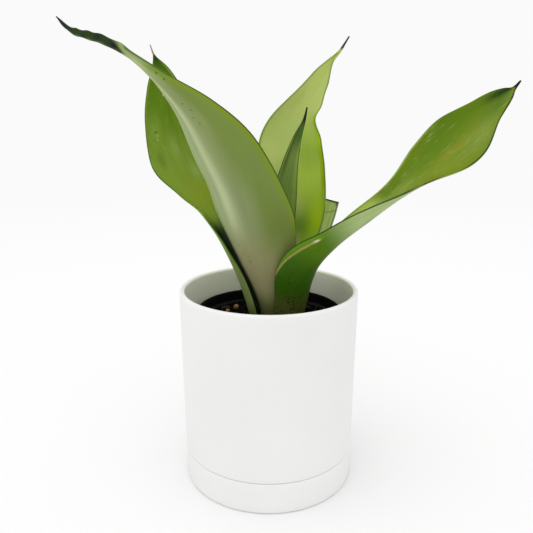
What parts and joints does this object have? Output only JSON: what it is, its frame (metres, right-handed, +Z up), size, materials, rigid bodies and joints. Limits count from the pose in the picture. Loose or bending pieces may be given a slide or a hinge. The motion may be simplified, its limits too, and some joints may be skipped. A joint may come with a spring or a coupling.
{
  "type": "potted snake plant",
  "caption": "Snake plant with stiff upright and arching leaves in a grower's pot, standing loose in a white ceramic cylinder with a nested saucer.",
  "frame": {"origin": "centre of the saucer's flat underside, on the pot's axis and on the surface that it stands on", "axes": "+Z up along the pot's axis, +X towards the side that the long arching leaf leans to, -Y the front"},
  "size_m": [0.2871, 0.127, 0.3158],
  "materials": {
    "ceramic": "satin",
    "black_plastic": "satin",
    "soil": "matte",
    "rhizome": "matte",
    "leaf_silver": "satin",
    "leaf_green": "satin",
    "leaf_lime": "satin",
    "leaf_dark": "satin",
    "feed_prill": "satin",
    "bark": "matte",
    "perlite": "matte"
  },
  "bodies": {
    "root": {"saucer": "ceramic", "planter": "ceramic", "nursery_pot": "black_plastic", "potting_soil": "soil", "rhizome_and_roots": "rhizome", "leaf_front_silver": "leaf_silver", "leaf_left_back": "leaf_green", "leaf_right_back": "leaf_lime", "leaf_young_centre": "leaf_dark", "leaf_right_arching": "leaf_green", "leaf_cut_stub": "leaf_silver", "feed_prill_1": "feed_prill", "feed_prill_2": "feed_prill", "feed_prill_3": "feed_prill", "feed_prill_4": "feed_prill", "bark_chip_1": "bark", "bark_chip_2": "bark", "bark_chip_3": "bark", "bark_chip_4": "bark", "perlite_grain_1": "perlite", "perlite_grain_2": "perlite", "dry_twig": "bark"}
  },
  "joints": []
}
